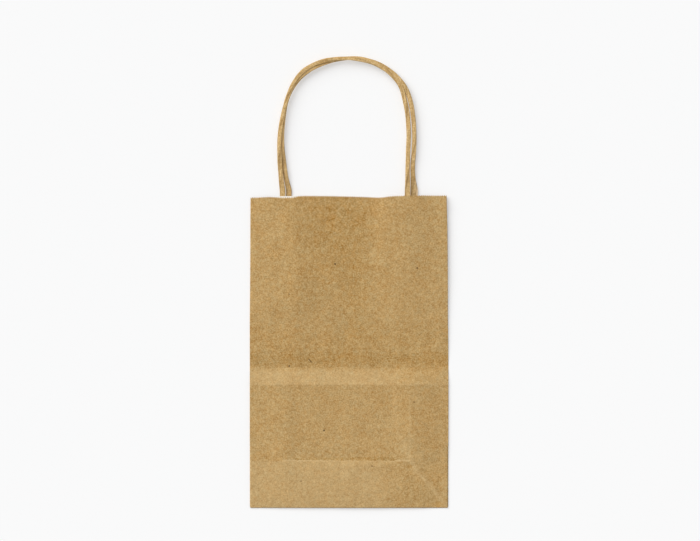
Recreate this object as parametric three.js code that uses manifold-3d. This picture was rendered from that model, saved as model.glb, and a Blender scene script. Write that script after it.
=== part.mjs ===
// A small kraft paper carrier bag with a folded block bottom and two twisted paper cord handles.
// It lies folded flat on its back. +Z points up out of the front panel, +Y runs from the bottom
// fold to the mouth and the handles, and +X is to the right as the front panel is seen.
// While it is built, y = 0 is the bottom fold and z = 0 is the surface that the bag lies on.

import * as THREE from 'three';
import { ParametricGeometry } from 'three/addons/geometries/ParametricGeometry.js';
import { mergeVertices } from 'three/addons/utils/BufferGeometryUtils.js';
import Module from 'manifold-3d';

const wasm = await Module();
wasm.setup();

// Driving dimensions of the paper bag, in millimetres
const bagWidth = 133.35;
const bagDepth = 82.55;
const bagHeight = 209.55;
const paper = 0.125;
const creasedPaper = 0.105; // the paper is pressed thinner along a fold
const creaseBite = 0.03; // how far a fold starts inside the layers that it joins
const foldGap = 0.25; // air between two folded layers that aren't glued together
const frontFlapLength = 32; // bottom flap that folds under from the front panel
const backFlapLength = 67.5; // outer bottom flap that folds down from the back panel
const sideFlapLength = 26.5; // bottom flaps that fold in from the two gussets
const flapInset = 1; // how far the end flaps stop short of the side folds
const seamWidth = 12; // overlap where the sheet is glued into a tube
const seamInset = 3; // from the side fold to that overlap
const seamPaper = 0.1125; // the overlap is pressed a little thinner, so that it clears the gusset
const cornerRelief = 0.6; // how far a fold stops short of a corner where another one crosses it

// Driving dimensions of the handles and the patches that hold them
const cordDiameter = 3.3;
const pressedCord = 1.3; // height of a cord where it is pressed flat between its patches
const pressedWidth = 4.1; // width of a cord there
const cordTuck = 36; // length of each cord leg inside the mouth
const pressedEnd = 3; // above the mouth, where a cord starts to grow round again
const pressedRun = 12; // length over which it grows
const pressedRise = 0.7; // how far its centreline rises over that length
const patchPaper = 0.125;
const patchHeight = 40;
const patchMargin = 5.3; // from a cord's centreline to the end of its patch
const patchDrop = 0.3; // from the mouth down to the patches
const glueLine = 0.05; // between pieces that are glued face to face
const patchShoulder = 2.2; // how far the inner patch takes to come down beside a cord

// How the panels step down past the folded bottom, and open a little towards the mouth
const stepStart = 0.6; // above the folded bottom
const stepRun = 11;
const settledRun = 6; // below the patches, where the layers have reached their mouth heights
const panelShoulder = 50.5; // half the width over which the front panel is level at the mouth
const edgeAir = 0.4; // spare air between the gusset layers at the side folds of the mouth
const stepStations = 5; // rings along the stretch that steps down
const stations = 9; // rings along the stretch that opens
const arcSteps = 5; // facets round half a fold
const shoulderSteps = 4;
const cordSides = 8;
const cordSteps = 64;
const grid = 0.001; // corners are rounded to this, so that neighbouring stretches share them exactly

// Places that follow from the sizes above
const halfWidth = bagWidth / 2;
const halfDepth = bagDepth / 2;
const creaseX = halfWidth - halfDepth; // inner crease of each gusset
const glued = paper;
const loose = paper + foldGap;
const foldRadius = loose / 2; // centreline radius of a fold between neighbouring layers
const sideLine = halfWidth - foldRadius - paper / 2; // where a panel turns into its side fold
const openingStart = bagDepth + stepStart + stepRun;
const openingEnd = bagHeight - patchDrop - patchHeight - settledRun;

// Heights of the layers over the folded bottom: the lower face of each, from the underside up
const backFlapZ = 0;
const frontFlapZ = backFlapZ + glued;
const sideFlapZ = frontFlapZ + glued;
const sideTriangleZ = sideFlapZ + loose;
const tuckZ = sideTriangleZ + loose;
const backLowZ = tuckZ + loose;
const backZ = backLowZ + loose;
const gussetLowerZ = backZ + loose;
const gussetUpperZ = gussetLowerZ + loose;
const frontZ = gussetUpperZ + loose;

// Heights of the same layers at the mouth, where a patched cord lies on each side of the gussets
const patchStack = 2 * patchPaper + pressedCord + 3 * glueLine;
const mouthBackZ = 0;
const mouthGussetLowerZ = mouthBackZ + paper + patchStack + foldGap;
const mouthGussetUpperZ = mouthGussetLowerZ + loose;
const mouthFrontZ = mouthGussetUpperZ + loose + patchStack;
const mouthEdgeZ = mouthBackZ + 3 * loose + edgeAir; // front panel at its side folds

// Centreline radius of the fold between two layers, given by their lower faces
function radiusBetween(upperZ, lowerZ) {
  return (upperZ - lowerZ) / 2;
}

// Lines along which layers turn into the folds that cross the bag
const bottomLine = radiusBetween(frontZ, frontFlapZ) + paper / 2;
const topLine = bagDepth - radiusBetween(backLowZ, backFlapZ) - paper / 2;
const middleLine = halfDepth + radiusBetween(gussetLowerZ, tuckZ) + paper / 2;
const diagonalInset = radiusBetween(gussetUpperZ, sideTriangleZ) + paper / 2;
const tuckInset = foldRadius + paper / 2;

// Routes of the two cord handles above the mouth: sideways from the bag's centre, height above the
// mouth, and height above the surface that the bag lies on, added to that of the cord in its patch
const frontRoute = [
  [-44.7, 4, 0.4], [-45.3, 10, 0.9], [-46.1, 18, 1.5], [-46.6, 26.5, 2.1], [-46.6, 36, 2.7],
  [-45.8, 46, 3.2], [-43.8, 56.6, 3.5], [-40.5, 67.9, 3.6], [-36.4, 76.6, 3.6],
  [-30.8, 83.4, 3.6], [-23.5, 87.8, 3.6], [-15.4, 90.7, 3.6], [-7.4, 91.8, 3.6],
  [0.6, 92.0, 3.6], [8.6, 91.1, 3.6], [16.6, 88.9, 3.6], [24.0, 84.9, 3.6], [30.0, 79.8, 3.5],
  [34.4, 73.7, 3.4], [37.5, 63.3, 3.2], [39.3, 52.6, 2.8], [39.9, 41.3, 2.3], [39.6, 29.2, 1.8],
  [39.3, 17.2, 1.2], [39.2, 8, 0.7],
];
const backRoute = [
  [-40.5, 4, 0.4], [-41.7, 10, 0.9], [-43.0, 17.3, 1.2], [-44.1, 26, 1.5], [-44.9, 35.4, 1.8],
  [-44.8, 44.1, 2.1], [-43.6, 55.5, 2.4], [-41.6, 64.9, 2.5], [-37.9, 72.9, 2.6],
  [-32.7, 79.7, 2.6], [-26.2, 84.7, 2.6], [-18.8, 88.3, 2.6], [-11.5, 90.6, 2.6],
  [-4.1, 91.9, 2.6], [3.3, 92.3, 2.6], [11.3, 91.2, 2.6], [19.4, 88.5, 2.6], [26.7, 84.3, 2.6],
  [32.8, 78.9, 2.5], [37.6, 72.6, 2.5], [41.2, 62.8, 2.4], [43.0, 52.1, 2.3], [43.7, 40.1, 2.1],
  [43.4, 28.7, 1.8], [42.7, 18.7, 1.3], [43.1, 8, 0.7],
];

// Solids from geometry, and geometry from solids

function toSolid(geometry) {
  const bare = geometry.index ? geometry.toNonIndexed() : geometry.clone();
  bare.deleteAttribute('normal');
  bare.deleteAttribute('uv');
  const places = bare.attributes.position.array;
  for (let i = 0; i < places.length; i += 1) {
    places[i] = Math.round(places[i] / grid) * grid;
  }
  const merged = mergeVertices(bare, grid / 10);
  const mesh = new wasm.Mesh({
    numProp: 3,
    vertProperties: new Float32Array(merged.attributes.position.array),
    triVerts: new Uint32Array(merged.index.array),
  });
  return new wasm.Manifold(mesh);
}

function toGeometry(solid) {
  const mesh = solid.getMesh();
  const geometry = new THREE.BufferGeometry();
  geometry.setAttribute('position', new THREE.BufferAttribute(new Float32Array(mesh.vertProperties), 3));
  geometry.setIndex(new THREE.BufferAttribute(new Uint32Array(mesh.triVerts), 1));
  geometry.computeVertexNormals();
  return geometry;
}

function mirroredInX(geometry) {
  const mirrored = geometry.index ? geometry.toNonIndexed() : geometry.clone();
  const position = mirrored.attributes.position;
  const corner = new THREE.Vector3();
  const other = new THREE.Vector3();
  for (let i = 0; i < position.count; i += 3) {
    corner.fromBufferAttribute(position, i + 1);
    other.fromBufferAttribute(position, i + 2);
    position.setX(i, -position.getX(i));
    position.setXYZ(i + 1, -other.x, other.y, other.z);
    position.setXYZ(i + 2, -corner.x, corner.y, corner.z);
  }
  return mirrored;
}

function smooth(fraction) {
  const f = THREE.MathUtils.clamp(fraction, 0, 1);
  return f * f * (3 - 2 * f);
}

// Flat stretches and folds of the sheet

function plate(outline, lowerZ, thickness = paper) {
  const shape = new THREE.Shape(outline.map(([x, y]) => new THREE.Vector2(x, y)));
  const geometry = new THREE.ExtrudeGeometry(shape, { depth: thickness, bevelEnabled: false });
  geometry.translate(0, 0, lowerZ);
  return geometry;
}

function rectangle(x0, x1, y0, y1) {
  return [[x0, y0], [x1, y0], [x1, y1], [x0, y1]];
}

// A half-round fold from one layer to another. It bulges to the left of the way from start to end,
// and a tapered lip at each edge of it lies inside the layer that it joins
function fold(start, end, upperZ, lowerZ) {
  const radius = radiusBetween(upperZ, lowerZ);
  const half = creasedPaper / 2;
  const lip = creasedPaper / 4;
  const shape = new THREE.Shape();
  shape.moveTo(0, -radius - half);
  shape.absarc(0, 0, radius + half, -Math.PI / 2, Math.PI / 2, false);
  shape.lineTo(-paper, radius + lip);
  shape.lineTo(-paper, radius - lip);
  shape.lineTo(0, radius - half);
  shape.absarc(0, 0, radius - half, Math.PI / 2, -Math.PI / 2, true);
  shape.lineTo(-paper, -radius + lip);
  shape.lineTo(-paper, -radius - lip);
  const along = new THREE.Vector3(end[0] - start[0], end[1] - start[1], 0);
  const geometry = new THREE.ExtrudeGeometry(shape, {
    depth: along.length(),
    bevelEnabled: false,
    curveSegments: arcSteps,
  });
  along.normalize();
  const up = new THREE.Vector3(0, 0, 1);
  const bulge = new THREE.Vector3().crossVectors(up, along);
  const frame = new THREE.Matrix4().makeBasis(bulge, up, along);
  frame.setPosition(
    start[0] - bulge.x * creaseBite,
    start[1] - bulge.y * creaseBite,
    (upperZ + lowerZ + paper) / 2,
  );
  return geometry.applyMatrix4(frame);
}

// How far the layers have stepped down from the folded bottom to the surface, from 0 to 1
function steppedDown(y) {
  return smooth((y - bagDepth - stepStart) / stepRun);
}

// How far the layers have opened at a place along the bag, from 0 at the bottom to 1 at the mouth
function opening(y) {
  return smooth((y - openingStart) / (openingEnd - openingStart));
}

// Height of a layer's lower face, given over the folded bottom and at the mouth
function layerHeight(y, foldedZ, mouthZ) {
  return THREE.MathUtils.lerp(foldedZ - backZ * steppedDown(y), mouthZ, opening(y));
}

// The places along both stretches where the section is drawn
function sectionPlaces() {
  const places = [];
  for (let i = 0; i < stepStations; i += 1) {
    places.push(bagDepth + stepStart + (stepRun * i) / stepStations);
  }
  for (let i = 0; i <= stations; i += 1) {
    places.push(THREE.MathUtils.lerp(openingStart, openingEnd, i / stations));
  }
  return places;
}

// Half of the tube's section, from the middle of the front panel round the right-hand gusset to the
// middle of the back panel, as points on the paper's middle with the way out of the bag at each
function halfSection(y) {
  const mid = paper / 2;
  const front = layerHeight(y, frontZ, mouthFrontZ) + mid;
  const upper = layerHeight(y, gussetUpperZ, mouthGussetUpperZ) + mid;
  const lower = layerHeight(y, gussetLowerZ, mouthGussetLowerZ) + mid;
  const back = layerHeight(y, backZ, mouthBackZ) + mid;
  const frontEdge = layerHeight(y, frontZ, mouthEdgeZ) + mid;
  const crease = creaseX + foldRadius + paper / 2;
  const points = [];

  function flat(x, z, way) {
    points.push({ x, z, nx: 0, nz: way });
  }
  // A stretch that runs between the level part of a layer and the side fold
  function slope(fromX, toX, fromZ, toZ, way) {
    for (let i = 1; i <= shoulderSteps; i += 1) {
      const f = i / shoulderSteps;
      const rise = ((toZ - fromZ) * 6 * f * (1 - f)) / (toX - fromX);
      const length = Math.hypot(rise, 1);
      points.push({
        x: fromX + (toX - fromX) * f,
        z: fromZ + (toZ - fromZ) * smooth(f),
        nx: (-rise * way) / length,
        nz: way / length,
      });
    }
  }
  // A fold round a centre, out of the bag at the sides (bulge 1) or into it at the inner crease (-1)
  function arc(x, z, bulge) {
    for (let i = 1; i <= arcSteps * 2; i += 1) {
      const angle = Math.PI / 2 - (Math.PI * i) / (arcSteps * 2);
      const out = { x: Math.cos(angle) * bulge, z: Math.sin(angle) };
      points.push({
        x: x + foldRadius * out.x,
        z: z + foldRadius * out.z,
        nx: out.x * bulge,
        nz: out.z * bulge,
      });
    }
  }

  flat(0, front, 1);
  flat(panelShoulder, front, 1);
  slope(panelShoulder, sideLine, front, frontEdge, 1);
  arc(sideLine, frontEdge - foldRadius, 1);
  slope(sideLine, panelShoulder, frontEdge - 2 * foldRadius, upper, -1);
  flat(crease, upper, -1);
  arc(crease, (upper + lower) / 2, -1);
  flat(panelShoulder, lower, 1);
  slope(panelShoulder, sideLine, lower, back + 2 * foldRadius, 1);
  arc(sideLine, back + foldRadius, 1);
  flat(panelShoulder, back, -1);
  flat(0, back, -1);
  return points;
}

// One face of the whole closed section: the outside when side is 1, and the inside when it is -1
function sectionRing(y, side) {
  const right = halfSection(y);
  const left = right.slice(1, -1).reverse().map((p) => ({ ...p, x: -p.x, nx: -p.nx }));
  return [...right, ...left].map((p) => ({
    x: p.x + (p.nx * side * paper) / 2,
    z: p.z + (p.nz * side * paper) / 2,
  }));
}

// The panels and gussets above the middle line: one closed tube of paper that is open at both ends
function tube() {
  const places = [middleLine, ...sectionPlaces(), bagHeight];
  const outside = places.map((y) => ({ y, ring: sectionRing(y, 1) }));
  const inside = places.map((y) => ({ y, ring: sectionRing(y, -1) })).reverse();
  const loops = [...outside, ...inside];
  const around = outside[0].ring.length;
  return new ParametricGeometry((u, v, target) => {
    const loop = loops[Math.round(v * loops.length) % loops.length];
    const point = loop.ring[Math.round(u * around) % around];
    target.set(point.x, loop.y, point.z);
  }, around, loops.length);
}

// The glued overlap that closes the tube, on the inside of the back panel by the left-hand fold
function seamStrip() {
  const left = -halfWidth + seamInset;
  const places = [...sectionPlaces(), bagHeight - paper];
  const middle = (y) => layerHeight(y, backZ, mouthBackZ) + paper / 2;
  const below = places.map((y) => new THREE.Vector2(y, middle(y)));
  const above = places.map((y) => new THREE.Vector2(y, middle(y) + paper / 2 + seamPaper)).reverse();
  const shape = new THREE.Shape([...below, ...above]);
  const geometry = new THREE.ExtrudeGeometry(shape, { depth: seamWidth, bevelEnabled: false });
  const frame = new THREE.Matrix4().set(0, 0, 1, left, 1, 0, 0, 0, 0, 1, 0, 0, 0, 0, 0, 1);
  return geometry.applyMatrix4(frame);
}

// Panels, flaps and folds of the bottom that reach across the whole width
function bottomAcross() {
  const flapSide = sideLine - flapInset;
  const foldSide = sideLine - cornerRelief;
  return [
    plate(rectangle(-sideLine, sideLine, bottomLine, middleLine), frontZ),
    fold([foldSide, bottomLine], [-foldSide, bottomLine], frontZ, frontFlapZ),
    plate(rectangle(-flapSide, flapSide, bottomLine, frontFlapLength), frontFlapZ),
    fold([foldSide, middleLine], [-foldSide, middleLine], backZ, backLowZ),
    plate(rectangle(-sideLine, sideLine, middleLine, topLine), backLowZ),
    fold([-flapSide, topLine], [flapSide, topLine], backLowZ, backFlapZ),
    plate(rectangle(-flapSide, flapSide, bagDepth - backFlapLength, topLine), backFlapZ),
  ];
}

// The folded lower end of the right-hand gusset and its bottom flap
function bottomSide() {
  const slant = diagonalInset * Math.SQRT2; // inset of the long diagonal fold, along x or y
  const tuckSlant = tuckInset * Math.SQRT2;
  const foldSide = sideLine - cornerRelief;
  const low = bottomLine + cornerRelief;
  const high = topLine - cornerRelief;
  // the long diagonal fold, and the one between the side triangle and the tuck
  const longFold = (x) => [x, halfWidth - x + slant];
  const tuckFold = (x) => [x, bagDepth - halfWidth + x - tuckSlant];
  const nearPeak = creaseX + slant + cornerRelief;
  const tuckPeak = middleLine - bagDepth + halfWidth + tuckSlant;
  return [
    // the gusset's upper half below the middle line, hinged on the front panel's side fold
    plate(
      [longFold(sideLine), [sideLine, middleLine], [nearPeak, middleLine], longFold(nearPeak)],
      gussetUpperZ,
    ),
    fold([sideLine, middleLine - cornerRelief], [sideLine, low], frontZ, gussetUpperZ),
    // its long diagonal fold and the side triangle of the bottom
    fold(longFold(foldSide), longFold(nearPeak + cornerRelief), gussetUpperZ, sideTriangleZ),
    plate(
      [longFold(sideLine), tuckFold(sideLine), tuckFold(nearPeak), longFold(nearPeak)],
      sideTriangleZ,
    ),
    // the tuck between the side triangle and the turned-up end of the back panel
    fold(tuckFold(tuckPeak + cornerRelief), tuckFold(foldSide), tuckZ, sideTriangleZ),
    plate([[tuckPeak, middleLine], [sideLine, middleLine], tuckFold(sideLine)], tuckZ),
    fold(
      [sideLine, tuckFold(sideLine)[1] - cornerRelief],
      [sideLine, middleLine + cornerRelief],
      backLowZ,
      tuckZ,
    ),
    fold([foldSide, middleLine], [tuckPeak + cornerRelief, middleLine], gussetLowerZ, tuckZ),
    // the side flap of the bottom
    fold([sideLine, high - cornerRelief], [sideLine, low + cornerRelief], sideTriangleZ, sideFlapZ),
    plate(rectangle(halfWidth - sideFlapLength, sideLine, low, high), sideFlapZ),
  ];
}

function bagSheet() {
  let solid = toSolid(tube());
  const side = bottomSide();
  const stretches = [seamStrip(), ...bottomAcross(), ...side, ...side.map(mirroredInX)];
  for (const stretch of stretches) {
    solid = solid.add(toSolid(stretch));
  }
  return toGeometry(solid);
}

// Cord handles and patches. A handle glued to the back panel builds up from its inner face (way = 1),
// and one glued to the front panel builds down from its inner face (way = -1)

const backFace = { z: mouthBackZ + paper, way: 1 };
const frontFace = { z: mouthFrontZ, way: -1 };

function cordHeight(face) {
  return face.z + face.way * (2 * glueLine + patchPaper + pressedCord / 2);
}

function legs(route) {
  return [route[0][0], route[route.length - 1][0]];
}

function cordHandle(route, face) {
  const height = cordHeight(face);
  const [leftLeg, rightLeg] = legs(route);
  const inMouth = [-cordTuck, -cordTuck / 2, -patchDrop];
  const centreline = [
    ...inMouth.map((y) => new THREE.Vector3(leftLeg, bagHeight + y, height)),
    ...route.map(([x, y, rise]) => new THREE.Vector3(x, bagHeight + y, height + rise)),
    ...[...inMouth].reverse().map((y) => new THREE.Vector3(rightLeg, bagHeight + y, height)),
  ];
  const section = [];
  for (let i = 0; i < cordSides; i += 1) {
    const angle = ((i + 0.5) / cordSides) * 2 * Math.PI;
    section.push(new THREE.Vector2(Math.cos(angle), Math.sin(angle)).multiplyScalar(cordDiameter / 2));
  }
  const geometry = new THREE.ExtrudeGeometry(new THREE.Shape(section), {
    steps: cordSteps,
    extrudePath: new THREE.CatmullRomCurve3(centreline),
  });
  return pressed(geometry, height, route);
}

// Inside the mouth the cord is pressed flat, so it is less high there and wider
function pressed(geometry, height, route) {
  const [leftLeg, rightLeg] = legs(route);
  const position = geometry.attributes.position;
  for (let i = 0; i < position.count; i += 1) {
    const start = bagHeight + pressedEnd;
    const above = THREE.MathUtils.clamp((position.getY(i) - start) / pressedRun, 0, 1);
    const middle = height + pressedRise * above;
    const squeeze = THREE.MathUtils.lerp(pressedCord / cordDiameter, 1, above);
    const leg = position.getX(i) < 0 ? leftLeg : rightLeg;
    const spread = THREE.MathUtils.lerp(pressedWidth / cordDiameter, 1, above);
    if (above < 1) {
      position.setZ(i, middle + (position.getZ(i) - middle) * squeeze);
      position.setX(i, leg + (position.getX(i) - leg) * spread);
    }
  }
  return geometry;
}

function patchSpan(route) {
  const [leftLeg, rightLeg] = legs(route);
  return [leftLeg - patchMargin, rightLeg + patchMargin];
}

// The patch against the panel is a flat strip
function outerPatch(route, face) {
  const [left, right] = patchSpan(route);
  const top = bagHeight - patchDrop;
  const near = face.z + face.way * glueLine;
  const far = near + face.way * patchPaper;
  return plate(rectangle(left, right, top - patchHeight, top), Math.min(near, far), patchPaper);
}

// The patch over the cords lies on the outer one and rises over each leg
function innerPatch(route, face) {
  const [left, right] = patchSpan(route);
  const low = face.z + face.way * (2 * glueLine + patchPaper);
  const high = low + face.way * (pressedCord + glueLine);
  const halfTop = pressedWidth / 2 + 2 * glueLine;
  const line = [[left, low]];
  for (const leg of legs(route)) {
    line.push([leg - halfTop - patchShoulder, low], [leg - halfTop, high]);
    line.push([leg + halfTop, high], [leg + halfTop + patchShoulder, low]);
  }
  line.push([right, low]);
  const near = line.map(([x, z]) => new THREE.Vector2(z, x));
  const far = line.map(([x, z]) => new THREE.Vector2(z + face.way * patchPaper, x)).reverse();
  const shape = new THREE.Shape([...near, ...far]);
  const geometry = new THREE.ExtrudeGeometry(shape, { depth: patchHeight, bevelEnabled: false });
  const frame = new THREE.Matrix4().set(0, 1, 0, 0, 0, 0, 1, bagHeight - patchDrop - patchHeight,
    1, 0, 0, 0, 0, 0, 0, 1);
  return geometry.applyMatrix4(frame);
}

function paperMaterial(color, roughness) {
  return new THREE.MeshStandardMaterial({ color, roughness, metalness: 0, side: THREE.DoubleSide });
}

const bag = new THREE.Group();

function addPiece(name, geometry, material) {
  const mesh = new THREE.Mesh(geometry, material);
  mesh.name = name;
  bag.add(mesh);
}

addPiece('bag_sheet', bagSheet(), paperMaterial(0xb99865, 0.85));
addPiece('front_handle', cordHandle(frontRoute, frontFace), paperMaterial(0xc39f66, 0.8));
addPiece('back_handle', cordHandle(backRoute, backFace), paperMaterial(0xc39f66, 0.8));
addPiece('front_outer_patch', outerPatch(frontRoute, frontFace), paperMaterial(0xe8e0cf, 0.85));
addPiece('front_inner_patch', innerPatch(frontRoute, frontFace), paperMaterial(0xe8e0cf, 0.85));
addPiece('back_outer_patch', outerPatch(backRoute, backFace), paperMaterial(0xe8e0cf, 0.85));
addPiece('back_inner_patch', innerPatch(backRoute, backFace), paperMaterial(0xe8e0cf, 0.85));

// The origin moves to the centre of the whole part, on the surface that it lies on
bag.position.y = -new THREE.Box3().setFromObject(bag).getCenter(new THREE.Vector3()).y;

export default bag;
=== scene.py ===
import math

import bmesh
import bpy
import numpy as np
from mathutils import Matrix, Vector
from mathutils.bvhtree import BVHTree


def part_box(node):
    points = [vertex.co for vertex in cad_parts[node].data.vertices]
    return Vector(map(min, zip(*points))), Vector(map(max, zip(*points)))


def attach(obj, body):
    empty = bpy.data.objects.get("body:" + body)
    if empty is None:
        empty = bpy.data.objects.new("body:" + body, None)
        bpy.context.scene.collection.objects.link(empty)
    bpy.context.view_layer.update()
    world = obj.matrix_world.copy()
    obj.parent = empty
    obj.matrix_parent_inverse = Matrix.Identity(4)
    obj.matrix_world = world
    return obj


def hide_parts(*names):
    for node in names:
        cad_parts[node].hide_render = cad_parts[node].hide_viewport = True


# A small kraft paper carrier bag, lying folded flat with its twisted cord handles above the mouth.
# Everything is in metres, in the frame's own axes: +Y to the mouth, +X to the right, +Z up.

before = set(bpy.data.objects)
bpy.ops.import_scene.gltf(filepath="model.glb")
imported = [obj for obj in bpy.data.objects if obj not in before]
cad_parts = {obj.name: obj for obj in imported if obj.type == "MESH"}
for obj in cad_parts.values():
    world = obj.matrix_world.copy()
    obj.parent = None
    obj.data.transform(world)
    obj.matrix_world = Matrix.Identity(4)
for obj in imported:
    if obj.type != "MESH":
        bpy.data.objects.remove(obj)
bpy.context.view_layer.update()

MM = 0.001

# Sizes of the bag, as its CAD source has them
BAG_WIDTH = 133.35 * MM
BAG_HEIGHT = 209.55 * MM
HALF = BAG_WIDTH / 2
PAPER = 0.125 * MM
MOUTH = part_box("bag_sheet")[1].y
BOTTOM = MOUTH - BAG_HEIGHT
FLAP_LINE = 32.0  # the front bottom flap's end, in millimetres above the bottom fold

# Sizes of the handles
CORD = 3.3 * MM
PRESSED_CORD = 1.3 * MM
PRESSED_WIDTH = 4.1 * MM
CORD_TUCK = 36 * MM
PRESSED_END = 3 * MM
PRESSED_RUN = 12 * MM
PRESSED_RISE = 0.7 * MM
PATCH_DROP = 0.3 * MM
GLUE = 0.05 * MM

# Each route is [sideways from the middle, above the mouth, above the cord's height in its patch]
FRONT_ROUTE = [
    [-44.7, 4, 0.4], [-45.3, 10, 0.9], [-46.1, 18, 1.5], [-46.6, 26.5, 2.1], [-46.6, 36, 2.7],
    [-45.8, 46, 3.2], [-43.8, 56.6, 3.5], [-40.5, 67.9, 3.6], [-36.4, 76.6, 3.6],
    [-30.8, 83.4, 3.6], [-23.5, 87.8, 3.6], [-15.4, 90.7, 3.6], [-7.4, 91.8, 3.6],
    [0.6, 92.0, 3.6], [8.6, 91.1, 3.6], [16.6, 88.9, 3.6], [24.0, 84.9, 3.6], [30.0, 79.8, 3.5],
    [34.4, 73.7, 3.4], [37.5, 63.3, 3.2], [39.3, 52.6, 2.8], [39.9, 41.3, 2.3], [39.6, 29.2, 1.8],
    [39.3, 17.2, 1.2], [39.2, 8, 0.7],
]
BACK_ROUTE = [
    [-40.5, 4, 0.4], [-41.7, 10, 0.9], [-43.0, 17.3, 1.2], [-44.1, 26, 1.5], [-44.9, 35.4, 1.8],
    [-44.8, 44.1, 2.1], [-43.6, 55.5, 2.4], [-41.6, 64.9, 2.5], [-37.9, 72.9, 2.6],
    [-32.7, 79.7, 2.6], [-26.2, 84.7, 2.6], [-18.8, 88.3, 2.6], [-11.5, 90.6, 2.6],
    [-4.1, 91.9, 2.6], [3.3, 92.3, 2.6], [11.3, 91.2, 2.6], [19.4, 88.5, 2.6], [26.7, 84.3, 2.6],
    [32.8, 78.9, 2.5], [37.6, 72.6, 2.5], [41.2, 62.8, 2.4], [43.0, 52.1, 2.3], [43.7, 40.1, 2.1],
    [43.4, 28.7, 1.8], [42.7, 18.7, 1.3], [43.1, 8, 0.7],
]

# Colours as they show on the screen, from 0 to 255
KRAFT_DARK = (150, 108, 45)
KRAFT_LIGHT = (203, 171, 116)
# pale paper for rubbed creases and for painted highlights
KRAFT_PALE_WEAR_AND_LIGHT = (226, 200, 152)
BARK = (74, 54, 32)
PALE_FLECK = (216, 186, 132)
DARK_FLECK = (139, 99, 58)
CORD_DARK = (176, 140, 82)
CORD_LIGHT = (230, 198, 144)
# colour of the painted shade in the cord's seams
CORD_SEAM_SHADE = (120, 84, 42)
# loose paper, paler than the cord, with a painted highlight
LOOSE_PAPER_HIGHLIGHT = (246, 228, 200)
PATCH_DARK = (232, 224, 208)
PATCH_LIGHT = (246, 242, 234)
PATCH_FLECK = (190, 170, 135)
FLOOR_COLOUR = (250, 250, 250)

# Sizes of the marks in the paper
CLOUD = 19 * MM
STAIN = 15 * MM
MOTTLE = 5.2 * MM
SPOT = 2.4 * MM
GRAIN = 1.9 * MM
FINE_GRAIN = 0.85 * MM
HAIR = 1.7 * MM
HAIR_PATCH = 2.3 * MM
PALE_FLECK_SIZE = 1.2 * MM
DARK_FLECK_SIZE = 1.0 * MM

# Camera: straight down through a long lens
LENS = 120
SENSOR = 36
VIEW_WIDTH = 470.2 * MM
VIEW_CENTRE_X = 0.6 * MM
VIEW_CENTRE_BELOW_MOUTH = 50.1 * MM


def make_camera():
    camera = bpy.data.cameras.new("camera")
    camera.lens = LENS
    camera.sensor_width = SENSOR
    camera.clip_start = 0.05
    camera.clip_end = 50
    holder = bpy.data.objects.new("camera", camera)
    distance = VIEW_WIDTH * LENS / SENSOR
    holder.location = (VIEW_CENTRE_X, MOUTH - VIEW_CENTRE_BELOW_MOUTH, distance)
    bpy.context.scene.collection.objects.link(holder)
    bpy.context.scene.camera = holder


# Small tools for shapes
def smooth(low, high, value):
    """From 0 to 1 between two places, with a soft start and end."""
    share = np.clip((value - low) / (high - low), 0, 1)
    return share * share * (3 - 2 * share)


def ramp(low, high, value, rounding):
    """From 0 to 1 in a straight line between two places, with rounded ends."""
    length = high - low
    start = np.sqrt((value - low) ** 2 + rounding**2)
    end = np.sqrt((value - high) ** 2 + rounding**2)
    return (start - end + length) / (2 * length)


def bump(value, place, width):
    """1 at the place, falling off softly on both sides of it."""
    return np.exp(-(((value - place) / width) ** 2))


def along_line(value, line):
    """A height read off a given line of (place, height)."""
    return np.interp(value, [p[0] for p in line], [p[1] for p in line])


def above_fold(points):
    """How far points lie above the bottom fold, in millimetres."""
    return (points[:, 1] - BOTTOM) / MM


def vertex_points(bm):
    return np.array([list(v.co) for v in bm.verts])


def move_vertices(bm, points):
    for vertex, point in zip(bm.verts, points):
        vertex.co = point


def mark_vertices(bm, label, values):
    """Stores a number for each vertex, for a material to read as an attribute."""
    layer = bm.verts.layers.float.new(label)
    for vertex, value in zip(bm.verts, values):
        vertex[layer] = float(value)


def finished(bm, name, material, sharp=40):
    """A finished piece from a bmesh, at the origin, riding on the bag."""
    mesh = bpy.data.meshes.new(name)
    bm.to_mesh(mesh)
    bm.free()
    mesh.materials.append(material)
    mesh.shade_smooth()
    mesh.set_sharp_from_angle(angle=math.radians(sharp))
    piece = bpy.data.objects.new(name, mesh)
    bpy.context.scene.collection.objects.link(piece)
    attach(piece, "root")
    return piece


# Small tools for materials
def set_inputs(tree, node, values):
    for socket, value in values.items():
        if isinstance(value, bpy.types.NodeSocket):
            tree.links.new(value, node.inputs[socket])
        else:
            node.inputs[socket].default_value = value


def add(tree, kind, values=None, **settings):
    node = tree.nodes.new("ShaderNode" + kind)
    for name, value in settings.items():
        setattr(node, name, value)
    set_inputs(tree, node, values or {})
    return node


def sum_up(tree, operation, first, second=0.0, clamp=False):
    node = add(tree, "Math", {0: first, 1: second}, operation=operation, use_clamp=clamp)
    return node.outputs[0]


def fade(tree, value, start, end, low=0.0, high=1.0):
    values = {"Value": value, "From Min": start, "From Max": end, "To Min": low, "To Max": high}
    return add(tree, "MapRange", values, clamp=True).outputs["Result"]


def blend(tree, share, first, second):
    """The first colour where the share is 0, and the second where it is 1."""
    node = add(tree, "Mix", data_type="RGBA", blend_type="MIX")
    set_inputs(tree, node, {0: share, 6: first, 7: second})
    return node.outputs[2]


def colour(red, green, blue):
    """A colour as it shows on the screen, from 0 to 255, as the shader wants it."""
    def linear(value):
        share = value / 255
        return share / 12.92 if share <= 0.04045 else ((share + 0.055) / 1.055) ** 2.4
    return (linear(red), linear(green), linear(blue), 1.0)


def tinted(tree, shade, share, strength, tint):
    """The shade with a tint over it, as strong as this where the share is 1."""
    return blend(tree, sum_up(tree, "MULTIPLY", share, strength), shade, colour(*tint))


def attribute(tree, label):
    return add(tree, "Attribute", attribute_name=label).outputs["Fac"]


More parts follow.
